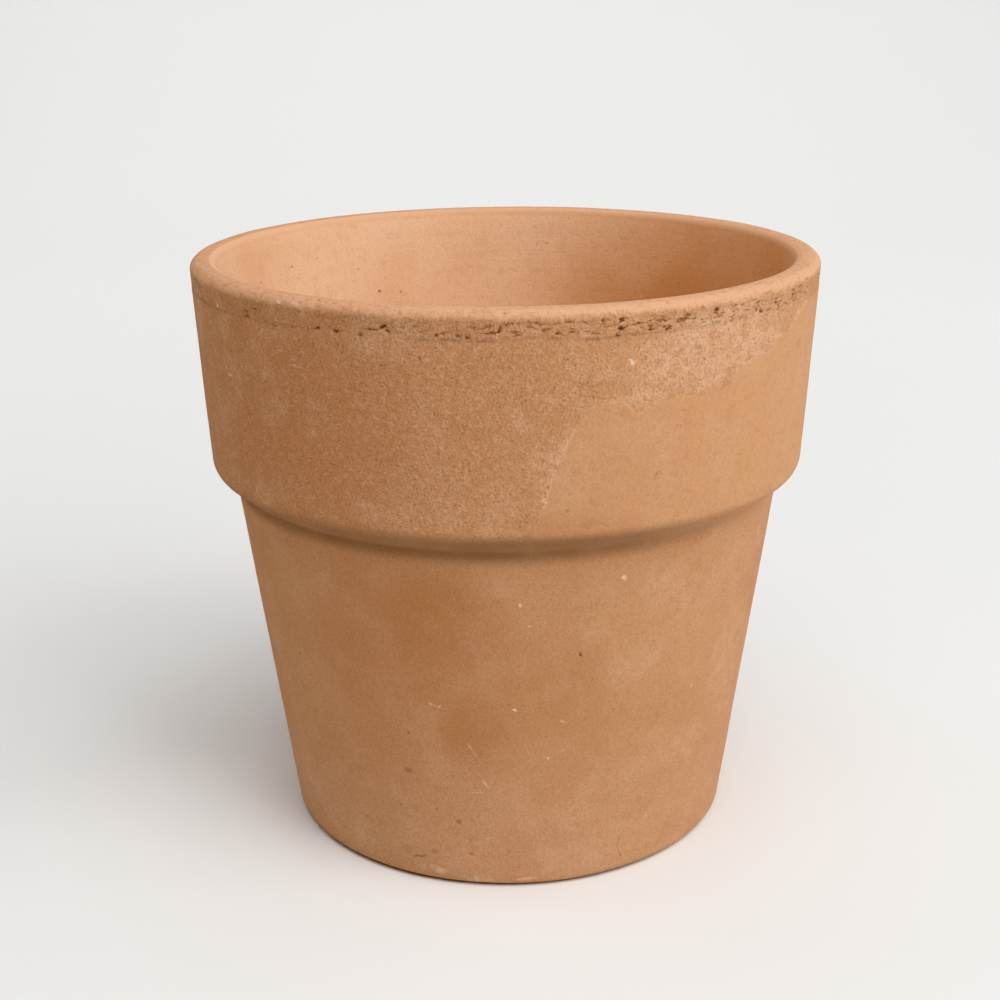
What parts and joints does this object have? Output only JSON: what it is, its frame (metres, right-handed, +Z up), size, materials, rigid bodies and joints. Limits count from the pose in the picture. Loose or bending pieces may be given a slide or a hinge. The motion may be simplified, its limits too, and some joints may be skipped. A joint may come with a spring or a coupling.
{
  "type": "terracotta flower pot",
  "caption": "Tapered unglazed clay flower pot with a deep collar rim, a rounded lip and a drain hole in the floor.",
  "frame": {"origin": "centre of the pot's underside, on the surface that it stands on", "axes": "+Z up along the pot's axis, out of its mouth; +X to the right and +Y away from the viewer in the front view"},
  "size_m": [0.1498, 0.1498, 0.1415],
  "materials": {
    "terracotta": "unglazed fired clay, matt and slightly chalky, with a dragged, pitted band under the lip"
  },
  "bodies": {
    "root": {"pot": "terracotta"}
  },
  "joints": []
}
